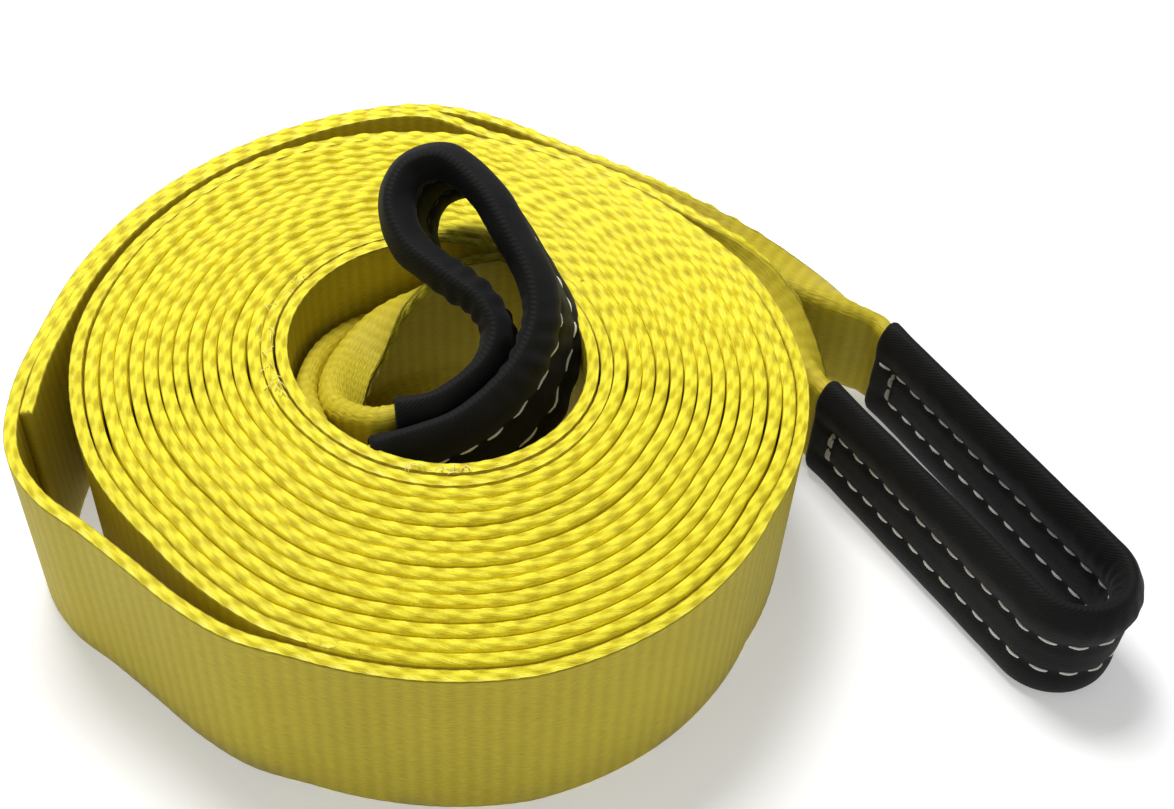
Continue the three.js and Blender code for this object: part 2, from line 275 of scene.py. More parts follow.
# %% Small helpers for wiring a finish
def finish_nodes(name):
    """A new material with its shader, and short words for adding and joining its nodes."""
    material = bpy.data.materials.new(name)
    material.use_nodes = True
    tree = material.node_tree
    shader = tree.nodes["Principled BSDF"]

    def add(kind, **settings):
        node = tree.nodes.new(kind)
        for key, value in settings.items():
            if key in node.inputs:
                node.inputs[key].default_value = value
            else:
                setattr(node, key, value)
        return node

    return material, shader, add, tree.links.new


def sum_up(add, join, kind, a, b):
    """One math node of two numbers or outputs."""
    node = add("ShaderNodeMath", operation=kind)
    for socket, value in zip(node.inputs, (a, b)):
        if isinstance(value, (int, float)):
            socket.default_value = value
        else:
            join(value, socket)
    return node.outputs[0]


def blend_colors(add, join, share, low, high):
    """Mixes two colours by a share from 0 to 1."""
    node = add("ShaderNodeMix", data_type="RGBA")
    join(share, node.inputs[0])
    for socket, value in zip((node.inputs[6], node.inputs[7]), (low, high)):
        if isinstance(value, tuple):
            socket.default_value = (*value, 1)
        else:
            join(value, socket)
    return node.outputs[2]


# %% [markdown]
# ## The finish of yellow filament webbing
# Tow webbing is woven from bright, slightly glossy filament yarn. Up close every float is a bundle of fine
# lengthwise threads that catch the light, with glints painted on them as painted highlight, and the gaps
# between floats are painted deep golden as painted shade. The side faces are painted darker and more olive
# than the edges, and darker again in the ribs' valleys, both as painted shade. The cloth's own coordinates,
# metres along it and across it, drive the fine threads and the ribs, so the finish follows the cloth round
# every bend. Slow noise adds the uneven tone of used webbing and a faint grey stain, and the webbing is made
# darker and greyer in patches towards the bottom.

# %% Yellow webbing
FLOAT_BRIGHT = (1.0, 0.89, 0.04)
# The gap colour is painted shade: the gaps between the selvedge floats are coloured deep golden where shade
# falls between them.
FLOAT_GAP_SHADE = (0.60, 0.475, 0.003)
# The face colours hold painted shade: the side faces are coloured darker and more olive than the lit edges.
FACE_SHADED_LIGHT = (0.64, 0.53, 0.03)
FACE_SHADED_DARK = (0.42, 0.325, 0.008)
GREY_TONE = (0.17, 0.15, 0.09)
FLOAT_SLANT = 0.9
YARN_SLANT = 0.22
WARP_FINE = (260.0, 1700.0)
YARN_FINE = (240.0, 3400.0)
DARKENING_HIGH = 0.011


def webbing_finish():
    material, shader, add, join = finish_nodes("yellow_webbing")

    def math_of(kind, a, b=0.0):
        return sum_up(add, join, kind, a, b)

    def ranged(value, low, high, to_low=0.0, to_high=1.0):
        node = add("ShaderNodeMapRange", clamp=True)
        join(value, node.inputs[0])
        for socket, number in zip(node.inputs[1:5], (low, high, to_low, to_high)):
            socket.default_value = number
        return node.outputs[0]

    def axes(layer):
        cloth, parts = add("ShaderNodeUVMap", uv_map=layer), add("ShaderNodeSeparateXYZ")
        join(cloth.outputs[0], parts.inputs[0])
        return parts.outputs[0], parts.outputs[1]

    def fine_noise(x, y, along_scale, across_scale):
        spot = add("ShaderNodeCombineXYZ")
        join(math_of("MULTIPLY", x, along_scale), spot.inputs[0])
        join(math_of("MULTIPLY", y, across_scale), spot.inputs[1])
        noise = add("ShaderNodeTexNoise", Scale=1.0, Detail=3.0)
        join(spot.outputs[0], noise.inputs["Vector"])
        return noise.outputs[0]

    along, up = axes("cloth")
    over, rim_share = axes("edge")
    on_rim = ranged(rim_share, 0.965, 0.985)
    place = add("ShaderNodeTexCoord")
    patch = add("ShaderNodeTexNoise", Scale=22.0, Detail=4.0)
    join(place.outputs["Object"], patch.inputs["Vector"])
    # Painted highlight: this small noise paints bright glints on the selvedge floats.
    painted_glint = add("ShaderNodeTexNoise", Scale=150.0, Detail=2.0)
    join(place.outputs["Object"], painted_glint.inputs["Vector"])

    rib = math_of("COSINE", math_of("MULTIPLY", along, 2 * math.pi / (RIB * MM)))
    warp = fine_noise(along, up, *WARP_FINE)
    # The valleys between the ribs are painted darker here as painted shade.
    face_tone = math_of("ADD", math_of("MULTIPLY", rib, 0.12), math_of("MULTIPLY", warp, 1.1))
    face_tone = math_of("ADD", face_tone, math_of("MULTIPLY", patch.outputs[0], 0.5))
    face = blend_colors(add, join, ranged(face_tone, 0.35, 1.25), FACE_SHADED_DARK, FACE_SHADED_LIGHT)

    slanted = math_of("ADD", along, math_of("MULTIPLY", over, FLOAT_SLANT))
    beat = math_of("COSINE", math_of("MULTIPLY", slanted, 2 * math.pi / (FLOAT_PERIOD * MM)))
    row = math_of("SINE", math_of("MULTIPLY", over, -math.pi / (0.54 * PLY * MM)))
    leaf_shape = math_of("MULTIPLY", beat, row)
    twisted = math_of("ADD", over, math_of("MULTIPLY", slanted, YARN_SLANT))
    yarn = fine_noise(slanted, twisted, *YARN_FINE)
    rim_tone = math_of("ADD", ranged(leaf_shape, -0.75, 0.4), math_of("MULTIPLY", yarn, 1.1))
    # The glint noise adds painted highlights to the edge colour.
    rim_tone = math_of("ADD", rim_tone, math_of("MULTIPLY", painted_glint.outputs[0], 1.3))
    # The selvedge colour runs from painted shade in the gaps between floats to bright lemon on the floats.
    edge = blend_colors(add, join, ranged(rim_tone, 0.95, 2.25), FLOAT_GAP_SHADE, FLOAT_BRIGHT)

    color = blend_colors(add, join, on_rim, face, edge)
    stain = add("ShaderNodeTexNoise", Scale=9.0, Detail=5.0)
    join(place.outputs["Object"], stain.inputs["Vector"])
    color = blend_colors(add, join, ranged(stain.outputs[0], 0.62, 0.85, 0.0, 0.3), color, GREY_TONE)
    level = add("ShaderNodeSeparateXYZ")
    join(place.outputs["Object"], level.inputs[0])
    # The webbing is made darker and greyer in patches towards the bottom, up to a set height above the
    # floor.
    low_down = ranged(level.outputs[2], 0.0, DARKENING_HIGH, 0.6, 0.0)
    low_darkening = math_of("MULTIPLY", low_down, ranged(patch.outputs[0], 0.48, 0.68))
    color = blend_colors(add, join, low_darkening, color, GREY_TONE)
    join(color, shader.inputs["Base Color"])
    face_height = math_of("ADD", math_of("MULTIPLY", rib, 0.25), warp)
    rim_height = math_of("ADD", math_of("MULTIPLY", leaf_shape, 0.7), math_of("MULTIPLY", yarn, 1.3))
    height = add("ShaderNodeMix", data_type="FLOAT")
    join(on_rim, height.inputs[0])
    join(face_height, height.inputs[2])
    join(rim_height, height.inputs[3])
    bump = add("ShaderNodeBump", Strength=0.7, Distance=0.0007)
    join(height.outputs[0], bump.inputs["Height"])
    join(bump.outputs[0], shader.inputs["Normal"])
    join(ranged(on_rim, 0.0, 1.0, 0.6, 0.36), shader.inputs["Roughness"])
    shader.inputs["Specular IOR Level"].default_value = 0.3
    return material


yellow = webbing_finish()
print("finish:", yellow.name)

# %% [markdown]
# ## The turns of the coil
# The strap is wound from its middle outwards, so the turns are one spiral. Seen from above it runs inwards
# counter-clockwise: about fourteen and a half turns from the place at the front where the loose outer ply
# lies down on the coil to the place at the back of the bore where the ply leaves the wall. A spiral could be
# drawn once and scaled, but real turns are never quite even, so the radius and the level of the ply wander a
# little on their way. BULGE is how far the outermost turn stands out from the oval at some angles: measured
# in the photo's view, and at the front corrected until the outline fitted. BORE_FLAT presses the bore in
# from four sides. Both fade on the way through the coil.

# %% The spiral and its small unevenness
SPIRAL_START = -101.0
SPIRAL_RADIUS = 129.9
SPIRAL_PITCH = 4.66
TURN_THICK = 4.66
BORE_FLAT = {"back": 1.5, "front": 1.2, "right": 5.5, "left": 2.0}
SPIRAL_SHIFT = np.array([2.0, 4.0])
BULGE = np.array([
    (-178, 2.1), (-150, 3.5), (-131, 2.2), (-108, 7.6), (-91, 7.0), (-71, 7.0), (-49, 3.2), (-28, -1.0),
    (0, 2.2), (27, 2.4), (42, -0.4), (52, -0.7), (75, -1.1), (92, 3.4), (110, 3.6), (129, 2.8),
    (150, 0.2), (166, 0.2),
])
SPIRAL_TURNS = 14.486
INNER_PLY_FROM = 13.4
WANDER_OUT = 0.24
WANDER_UP = 0.5
OUT_WAVES = ((17.0, 0.0, 0.5), (41.0, 1.3, 0.3), (29.0, 4.0, 0.4))
UP_WAVES = ((13.0, 0.4, 0.5), (33.0, 0.0, 0.3), (7.3, 2.0, 0.5))
MEAN_RADIUS = 97.0
DENSE = 6
CALM_TO = 0.05


def uneven(turns, waves):
    """A sum of waves, each with its pace per turn, its shift and its size."""
    return sum(size * np.sin(turns * pace + shift) for pace, shift, size in waves)


def spiral(from_turn, to_turn, inset=0.0):
    """Stations on the spiral: plan place and how far the ply stands above its level."""
    count = int((to_turn - from_turn) * 2 * math.pi * MEAN_RADIUS / STEP) + 2
    turns = np.linspace(from_turn, to_turn, DENSE * count)
    radius = SPIRAL_RADIUS - SPIRAL_PITCH * turns - inset
    fade = np.clip((turns - CALM_TO) * 4, 0, 1)
    degrees = SPIRAL_START + 360 * turns
    share = np.clip((radius - BORE_RADIUS) / (COIL_RADIUS - BORE_RADIUS), 0, 1)
    swell = np.interp(degrees, BULGE[:, 0], BULGE[:, 1], period=360) * share
    right, back = np.cos(np.radians(degrees)), np.sin(np.radians(degrees))
    pressed = np.where(back > 0, BORE_FLAT["back"], BORE_FLAT["front"]) * back**2
    pressed += np.where(right > 0, BORE_FLAT["right"], BORE_FLAT["left"]) * right**2
    swell -= pressed * (1 - share)
    plan = coil_place(radius + swell + WANDER_OUT * uneven(turns, OUT_WAVES) * fade, degrees)
    plan += (1 - share)[:, None] * (SPIRAL_SHIFT - BORE_SHIFT)
    walk = walked(plan)
    even = np.linspace(0, walk[-1], int(walk[-1] / STEP) + 1)
    level = WANDER_UP * (uneven(turns, UP_WAVES) + 1) * fade
    return np.stack([np.interp(even, walk, values) for values in (*plan.T, level)], 1)


def on_edge(stations):
    """The middle line of an upright ply from plan places and lifts."""
    line = stations.copy()
    line[:, 2] += WEBBING / 2
    return line


wound_line = on_edge(spiral(1.0, INNER_PLY_FROM))
wound_turns = upright_ply("wound_turns", wound_line, yellow, TURN_THICK)
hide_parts("webbing")
print("wound turns:", len(wound_turns.data.polygons), "faces,", round(wound_turns["run_mm"]), "mm")

# %% [markdown]
# ## A line that a maker would draw by hand
# The loose plies and the legs follow no circle, so they are drawn through a few chosen places and
# smoothed. A Blender curve could do that too, but the ply needs its width, level and fold at every
# step, so each place carries those numbers along and they are smoothed together.

# %% Smooth lines with even steps
def smooth_line(rows, step=STEP):
    """A rounded line through rows of numbers, sampled evenly by its first two columns."""
    p = np.asarray(rows, float)
    p = np.vstack([2 * p[0] - p[1], p, 2 * p[-1] - p[-2]])
    dense = []
    t = np.linspace(0, 1, 30, endpoint=False)[:, None]
    for a, b, c, d in zip(p, p[1:], p[2:], p[3:]):
        gaps = [max(np.linalg.norm((n - m)[:2]) ** 0.5, 1e-6) for m, n in ((a, b), (b, c), (c, d))]
        leave = ((b - a) / gaps[0] - (c - a) / (gaps[0] + gaps[1]) + (c - b) / gaps[1]) * gaps[1]
        arrive = ((c - b) / gaps[1] - (d - b) / (gaps[1] + gaps[2]) + (d - c) / gaps[2]) * gaps[1]
        dense.append((2 * t**3 - 3 * t**2 + 1) * b + (t**3 - 2 * t**2 + t) * leave
                     + (3 * t**2 - 2 * t**3) * c + (t**3 - t**2) * arrive)
    dense = np.vstack(dense + [p[-2:-1]])
    walk = walked(dense[:, :2])
    even = np.linspace(0, walk[-1], max(int(walk[-1] / step), 2) + 1)
    return np.stack([np.interp(even, walk, column) for column in dense.T], 1)


# %% [markdown]
# ## Webbing that folds lengthwise
# Three inch webbing is too wide for a hook, so at each eye its two edges are folded in and the
# sleeve is drawn over the folded part. The fold grows along the leg: flat where it leaves the coil,
# edges standing up half way, edges lying down where it enters the sleeve. The section is laid out
# flat first, and then bent: past a certain distance from the middle it turns by the fold's angle.

# %% The folding ply
BEND_FROM = 17.5
BEND_LONG = 6.0
FACE_LEVELS = np.array([0.485, 0.465, 0.43, 0.36, 0.3, 0.265, 0.23, 0.2, 0.12, 0.04])
EDGE_DROP = np.array([1.0, 0.3, 0.8, 0.3, 1.0])
FINE = 0.5


def folding_ply(name, stations, side):
    """stations: x, y, level of the middle, fold in degrees, thickness. side: which way it folds."""
    line, fold, thick = stations[:, :3], np.radians(stations[:, 3]), stations[:, 4]
    count = len(line)
    across = np.cross(UP, unit(np.gradient(line, axis=0) * (1 - UP)))
    run = walked(line)

    grid = np.arange(0, 42, FINE)
    ease = np.clip((grid - BEND_FROM) / BEND_LONG, 0, 1)
    turned = fold[:, None] * ease
    reach_up = np.concatenate([np.zeros((count, 1)), np.cumsum(np.cos(turned) * FINE, 1)], 1)[:, :-1]
    reach_out = np.concatenate([np.zeros((count, 1)), np.cumsum(np.sin(turned) * FINE, 1)], 1)[:, :-1]
    every = np.arange(count)

    def bent(v, t):
        """Place of a point v up the flat cloth and t out from its middle, once it is folded."""
        v, t = np.broadcast_to(v, (count,)), np.broadcast_to(t, (count,))
        at = np.clip(np.abs(v) / FINE, 0, len(grid) - 2.001)
        low = at.astype(int)
        part = at - low
        sign = np.sign(v)
        turn_here = fold * np.clip((np.abs(v) - BEND_FROM) / BEND_LONG, 0, 1)
        up = reach_up[every, low] * (1 - part) + reach_up[every, low + 1] * part
        out = reach_out[every, low] * (1 - part) + reach_out[every, low + 1] * part
        out = side * out + np.cos(turn_here) * t
        up = sign * up - sign * side * np.sin(turn_here) * t
        return line + across * out[:, None] + UP * up[:, None]

    rises, ribs = float_rises(run), face_ribs(run)
    columns, flat_up, edge = [], [], []
    for end in (1, -1):
        for i, place in enumerate(TOP_ACROSS):
            level = end * (WEBBING / 2 - EDGE_SUNK - SHOULDER * EDGE_DROP[i] + FLOAT_RISE * rises[i])
            columns.append(bent(level, end * place * thick * (CORNER if abs(place) == 0.5 else 1)))
            flat_up.append(level)
            edge.append(np.broadcast_to((place * PLY * MM, 1.0), (count, 2)))
        levels = np.concatenate([FACE_LEVELS, -FACE_LEVELS[::-1]]) * WEBBING * end
        for level in levels:
            soft = np.clip((0.49 - abs(level) / WEBBING) / 0.05, 0.3, 1)
            columns.append(bent(level, end * (0.5 * thick + ribs * soft)))
            flat_up.append(np.full(count, level))
            edge.append(np.zeros((count, 2)))
    ring = len(columns)
    points = np.stack(columns, 1).reshape(-1, 3)
    uv = np.stack([np.repeat(run, ring), np.stack(flat_up, 1).ravel()], 1) * MM
    faces = tube_faces(count, ring)
    piece = mesh_piece(name, points, faces, yellow, uv, np.stack(edge, 1).reshape(-1, 2))
    piece["run_mm"] = float(run[-1])
    print(name + ":", len(faces), "faces,", round(run[-1]), "mm")
    return piece


# %% [markdown]
# ## The outer eye's middle line
# The outer eye lies on edge beside the coil as a long narrow U: a straight far leg, a round tip and
# a straight near leg. Both its sleeve and the webbing that enters it are placed from this one line.

# %% Where the outer eye lies
eye_turn = math.radians(EYE_ANGLE)
EYE_ALONG = np.array([math.cos(eye_turn), math.sin(eye_turn), 0.0])
EYE_ASIDE = np.array([-EYE_ALONG[1], EYE_ALONG[0], 0.0])
EYE_CENTRE = np.array([COIL_RADIUS + EYE_REACH, EYE_Y, 0.0])
EYE_SPREAD = (4.2, -3.0, -5.5, -2.8)
TIP_ARC = math.pi * EYE_BEND
OUTER_LONG = FAR_LEG + TIP_ARC + NEAR_LEG


def outer_eye(distance):
    """Middle, heading and standing direction at distances from the far mouth."""
    past = np.asarray(distance, float) - FAR_LEG
    bend = np.clip(past / EYE_BEND, 0, math.pi)
    beyond = np.minimum(past, 0) - np.maximum(past - TIP_ARC, 0)
    middle = EYE_CENTRE + np.outer(beyond + EYE_BEND * np.sin(bend), EYE_ALONG)
    spread = np.interp(distance, (0, FAR_LEG, FAR_LEG + TIP_ARC, OUTER_LONG), EYE_SPREAD)
    middle = middle + np.outer(EYE_BEND * np.cos(bend) + spread, EYE_ASIDE)
    middle[:, 2] = SLEEVE_WIDTH / 2
    heading = np.outer(np.cos(bend), EYE_ALONG) - np.outer(np.sin(bend), EYE_ASIDE)
    return middle, heading, np.broadcast_to(UP, middle.shape)


far_mouth, far_way, _ = (a[0] for a in outer_eye([0.0]))
near_mouth, near_way, _ = (a[0] for a in outer_eye([OUTER_LONG]))
print("outer eye line, mm:", round(OUTER_LONG))

# %% [markdown]
# ## The loose outer ply
# The last turn was not pulled tight. It stands off the coil at the left and along the back, and then runs
# nearly straight to the far leg of the outer eye, folding outwards as it goes. It could be wound on as one
# more even turn, but then its gaps would be lost. Each place below is an angle round the coil and how far
# the middle of the ply stands off the coil's mean edge. The angles and distances were measured in the
# photo's view and corrected.

# %% The outer ply, from inside the sleeve to the end of the first turn
PRESSED = 3.0
PRESSED_SHIFT = 1.9
LOOSE = [
    (88, 16.2), (98, 20.8), (106, 19.3), (118, 14.2), (134, 8.9), (150, 6.5), (166, 6.5), (180, 9),
    (-168, 15.6), (-157, 20), (-148, 17.2), (-139, 10.5), (-130, 7.5), (-120, 7.5), (-111, 7.5),
]
FAR_LEG_STEPS = [(0.9, 49, 138), (0.76, 54.5, 104), (0.6, 61, 70), (0.4, 69, 38), (0.19, 74.5, 12)]
FAR_LEG_BOW = -5.0
THINNED = 0.6
MOUTH_FOLDS = ((4, 176), (0, 174), (-8, 156))


def beside_coil(degrees, distance, width=WEBBING, fold=0.0):
    x, y = coil_place(COIL_RADIUS + distance, degrees)
    return (x, y, width / 2, fold, PLY)


def into_mouth(mouth, inward, side_way):
    """Places inside and just before a mouth, where the folded ply is pressed thin."""
    rows = []
    for distance, fold in MOUTH_FOLDS:
        x, y, z = mouth + inward * distance - side_way * PRESSED_SHIFT
        rows.append((x, y, z, fold, PRESSED))
    return rows


def far_leg():
    start = np.array(beside_coil(*LOOSE[0])[:2])
    way = far_mouth[:2] - start
    bow = np.array([-way[1], way[0]]) / np.linalg.norm(way)
    for share, width, fold in FAR_LEG_STEPS:
        x, y = start + share * way + bow * FAR_LEG_BOW * math.sin(math.pi * share)
        yield (x, y, SLEEVE_EDGE * share + width / 2, fold, PLY - THINNED * share)


first_turn = on_edge(spiral(0.0, 1.02))
first_turn = np.column_stack([first_turn, np.zeros(len(first_turn)), np.full(len(first_turn), PLY)])
far_rows = [*into_mouth(far_mouth, far_way, EYE_ASIDE), *far_leg()]
loose_line = smooth_line([*far_rows, *(beside_coil(*at) for at in LOOSE), first_turn[0]])
outer_ply = folding_ply("outer_ply", np.vstack([loose_line[:-1], first_turn]), -1)
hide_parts("webbing")

# %% [markdown]
# ## The lap of the outer eye
# Past the eye the webbing comes back along the coil and is sewn to the inside of the outer ply. Its
# cut end shows at the left, in the gap behind the outer ply. It could be one piece with the outer
# ply, but its own line keeps the gap between the two. The last two places also give how tall the
# ply is there and how far it is folded.

# %% The lap, from its cut end to inside the near mouth
LAP = [
    (-163, 13.4), (-172, 8.6), (180, 4.9), (166, 2.4), (150, 2.4), (134, 4.8), (118, 10.1),
    (106, 15.2), (98, 15.4), (88, 4.5), (76, 1), (58, 1),
]
LAP_FOLDING = [(42, 1.6, 75, 12), (31, 4.4, 67, 56)]


near_rows = into_mouth(near_mouth, -near_way, EYE_ASIDE)[::-1]
lap_rows = [beside_coil(*at) for at in LAP + LAP_FOLDING]
outer_lap = folding_ply("outer_lap", smooth_line([*lap_rows, *near_rows]), 1)
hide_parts("webbing")

# %% [markdown]
# ## The inner eye's middle line
# The inner eye stands up out of the bore and leans towards the front. Its upper rim lies in one
# leaning plane, where it draws a drop: out from the mouths, round the tip and back. The band hangs
# down from that rim, upright at the mouths, leaning round the drop and splayed a little at its foot.
# RIM is that drop in shares of the bore's radius, as measured in the photo's view.

# %% Where the inner eye stands
EYE_LEAN = math.radians(27.5)
EYE_FRONT = 20.0
EYE_CLEARANCE = 4.0
RIM = [
    (-0.29, -0.1), (-0.05, -0.01), (0.17, 0.1), (0.35, 0.275), (0.49, 0.485), (0.55, 0.71),
    (0.515, 0.935), (0.35, 1.24), (0.15, 1.515), (-0.1, 1.69), (-0.29, 1.615), (-0.365, 1.38),
    (-0.26, 1.13), (0, 0.935), (0.235, 0.785), (0.335, 0.615), (0.293, 0.445), (0.19, 0.32),
    (0.025, 0.195), (-0.175, 0.14),
]
UPRIGHT_SLOPE = 0.18
LEANING_SLOPE = 0.7
HANG_LEAN = math.radians(36)
SPLAY = math.radians(20)
SPLAY_GROWS = (
    (18, 30, 45, 58, 74, 88, 102, 215, 240, 256),
    (0, 0.1, 0.55, 1, 1, 0.85, 0.7, 0.7, 0.2, 0),
)

rim = smooth_line(np.array(RIM) * BORE_RADIUS, 0.5)
rim_walk = walked(rim)
INNER_LONG = float(rim_walk[-1])
bore_back = coil_place(BORE_RADIUS, 90.0)[1]
rim_front = EYE_FRONT - BORE_RADIUS
rim_high = (WEBBING + EYE_CLEARANCE + SLEEVE_WIDTH * math.cos(EYE_LEAN)
            - (bore_back - SLEEVE_WIDTH * math.sin(EYE_LEAN) - rim_front) * math.tan(EYE_LEAN))


def inner_eye(distance):
    """Middle, heading and standing direction at distances from the outer mouth."""
    distance = np.asarray(distance, float)
    x, slope = (np.interp(distance, rim_walk, rim[:, i]) for i in (0, 1))
    ahead_x, ahead = (np.interp(distance + 0.5, rim_walk, rim[:, i]) for i in (0, 1))
    back_x, back = (np.interp(distance - 0.5, rim_walk, rim[:, i]) for i in (0, 1))
    rise, run = math.sin(EYE_LEAN), math.cos(EYE_LEAN)
    heading = unit(np.stack([ahead_x - back_x, (ahead - back) * run, (ahead - back) * rise], 1))
    climb = np.clip((slope / BORE_RADIUS - UPRIGHT_SLOPE) / (LEANING_SLOPE - UPRIGHT_SLOPE), 0, 1)
    lean = HANG_LEAN * climb * climb * (3 - 2 * climb)
    splay = SPLAY * np.interp(distance, *SPLAY_GROWS)
    stand = np.stack([-np.sin(splay), -np.sin(lean) * np.cos(splay), np.cos(lean) * np.cos(splay)], 1)
    top = np.stack([x, rim_front + slope * run, rim_high + slope * rise], 1)
    return top - stand * SLEEVE_WIDTH / 2, heading, stand


outer_mouth, outer_way, _ = (a[0] for a in inner_eye([0.0]))
inner_mouth, inner_way, _ = (a[0] for a in inner_eye([INNER_LONG]))
inner_way = -inner_way
print("inner eye line, mm:", round(INNER_LONG), "mouth level", round(outer_mouth[2], 1))

# %% [markdown]
# ## The last turn and the curl in the bore
# At the back of the bore the ply leaves the wall, curls round inside the bore and climbs into the
# inner sleeve. Its other end comes out of the sleeve beside it and is sewn to the wall side as a
# lap of nearly one turn. The two plies fold away from each other, so the outer one folds towards
# the wall and the inner one towards the middle, which gives the broad bunched curl of the photo.

# %% The two plies of the inner eye
LAP_FROM = 13.45
LAP_INSET = TURN_THICK + 0.1
CURL_LANE = 4.3
CURL = [
    (89, 5.5, 50, 18, 0), (107, 9.5, 110, 40, 0.03), (131.6, 14.6, 140, 66, 0.25), (162, 16, 155, 104, 0.46),
    (-167.6, 13, 165, 124, 0.64), (-142.4, 9, 170, 148, 0.83),
]


def half_height(fold):
    """Half the height of a ply that is folded by so many degrees."""
    v = np.arange(0, WEBBING / 2, FINE)
    ease = np.clip((v - BEND_FROM) / BEND_LONG, 0, 1)
    return float(np.max(np.cumsum(np.cos(math.radians(fold) * ease) * FINE)))


def curl_rows(lane):
    base = outer_mouth[2] - FOLDED / 2
    for degrees, distance, outer_fold, inner_fold, rise in CURL:
        fold = inner_fold if lane else outer_fold
        x, y = coil_place(BORE_RADIUS - distance - lane, degrees)
        yield (x, y, rise * base + half_height(fold), fold, PLY - 0.5 * fold / 148)


def inner_ply(name, from_turn, inset, lane, mouth, way, side):
    wall = on_edge(spiral(from_turn, SPIRAL_TURNS, inset))
    wall = np.column_stack([wall, np.zeros(len(wall)), np.full(len(wall), PLY)])
    aside = np.cross(UP, way) * side
    mouth_rows = into_mouth(mouth, way, aside)[::-1]
    curl = smooth_line([wall[-1], *curl_rows(lane), *mouth_rows])
    piece = folding_ply(name, np.vstack([wall[:-1], curl]), side)
    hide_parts("webbing")
    return piece


last_turn = inner_ply("last_turn", INNER_PLY_FROM - 0.005, 0.0, 0.0, outer_mouth, outer_way, -1)
inner_lap = inner_ply("inner_lap", LAP_FROM, LAP_INSET, CURL_LANE, inner_mouth, inner_way, 1)

# %% [markdown]
# ## The finish of the black sleeves
# The sleeves are matt black twill. Fine diagonal ribs show where light falls along the rolled edges,
# and the folds stay nearly black. The ribs come from the cloth's coordinates: a wave of their sum
# runs at a slant to the edge. A little sheen stands for the short fibres.

# %% Black twill and sewing thread
TWILL = 1.05
TWILL_SLANT = 0.55
TWILL_DARK = (0.0012, 0.0012, 0.0012)
TWILL_LIGHT = (0.006, 0.006, 0.0056)


def twill_finish():
    material, shader, add, join = finish_nodes("black_twill")
    cloth = add("ShaderNodeUVMap", uv_map="cloth")
    parts = add("ShaderNodeSeparateXYZ")
    join(cloth.outputs[0], parts.inputs[0])

    def math_of(kind, a, b=0.0):
        return sum_up(add, join, kind, a, b)

    slant = math_of("ADD", math_of("MULTIPLY", parts.outputs[0], TWILL_SLANT), parts.outputs[1])
    wave = math_of("SINE", math_of("MULTIPLY", slant, 2 * math.pi / (TWILL * MM)))
    place = add("ShaderNodeTexCoord")
    fibre = add("ShaderNodeTexNoise", Scale=1400.0, Detail=2.0)
    join(place.outputs["Object"], fibre.inputs["Vector"])
    patch = add("ShaderNodeTexNoise", Scale=45.0, Detail=4.0)
    join(place.outputs["Object"], patch.inputs["Vector"])
    tone = math_of("ADD", math_of("MULTIPLY", wave, 0.2), patch.outputs[0])
    color = blend_colors(add, join, tone, TWILL_DARK, TWILL_LIGHT)
    join(color, shader.inputs["Base Color"])
    height = math_of("ADD", math_of("MULTIPLY", wave, 0.35), fibre.outputs[0])
    bump = add("ShaderNodeBump", Strength=0.5, Distance=0.00025)
    join(height, bump.inputs["Height"])
    join(bump.outputs[0], shader.inputs["Normal"])
    shader.inputs["Roughness"].default_value = 0.72
    shader.inputs["Specular IOR Level"].default_value = 0.17
    shader.inputs["Sheen Weight"].default_value = 0.03
    shader.inputs["Sheen Roughness"].default_value = 0.5
    return material


def thread_finish(name, light, dark):
    material, shader, add, join = finish_nodes(name)
    place = add("ShaderNodeTexCoord")
    twist = add("ShaderNodeTexNoise", Scale=900.0, Detail=3.0)
    join(place.outputs["Object"], twist.inputs["Vector"])
    join(blend_colors(add, join, twist.outputs[0], dark, light), shader.inputs["Base Color"])
    bump = add("ShaderNodeBump", Strength=0.4, Distance=0.0002)
    join(twist.outputs[0], bump.inputs["Height"])
    join(bump.outputs[0], shader.inputs["Normal"])
    shader.inputs["Roughness"].default_value = 0.5
    return material


black = twill_finish()
white_thread = thread_finish("white_thread", (0.85, 0.84, 0.78), (0.5, 0.49, 0.44))
taupe_thread = thread_finish("taupe_thread", (0.42, 0.38, 0.31), (0.22, 0.2, 0.16))
# Near-black thread is painted shade: it colours the stitches that lie in shadow inside the inner eye's drop.
painted_shade_thread = thread_finish("painted_shade_thread", (0.02, 0.02, 0.02), (0.008, 0.008, 0.008))
print("finishes:", black.name, white_thread.name, taupe_thread.name, painted_shade_thread.name)

# %% [markdown]
# ## A sleeve, padded above its stitching
# Each sleeve is a flat tube of twill. Two rows of stitching hold it to the folded webbing: above the
# upper row the cloth stands off in a soft padded roll, below the lower row it makes a smaller one,
# and between the rows it lies flat. Cloth simulation would lose the sharp rows, so the tube is swept
# along the eye's line with a shaped section, and puckers and wrinkles are pushed into it. It has a
# real inside and hems, because both mouths can be looked into. The padded roll of the inner sleeve
# is fatter in its middle than near its mouths, and that of the outer sleeve is even.

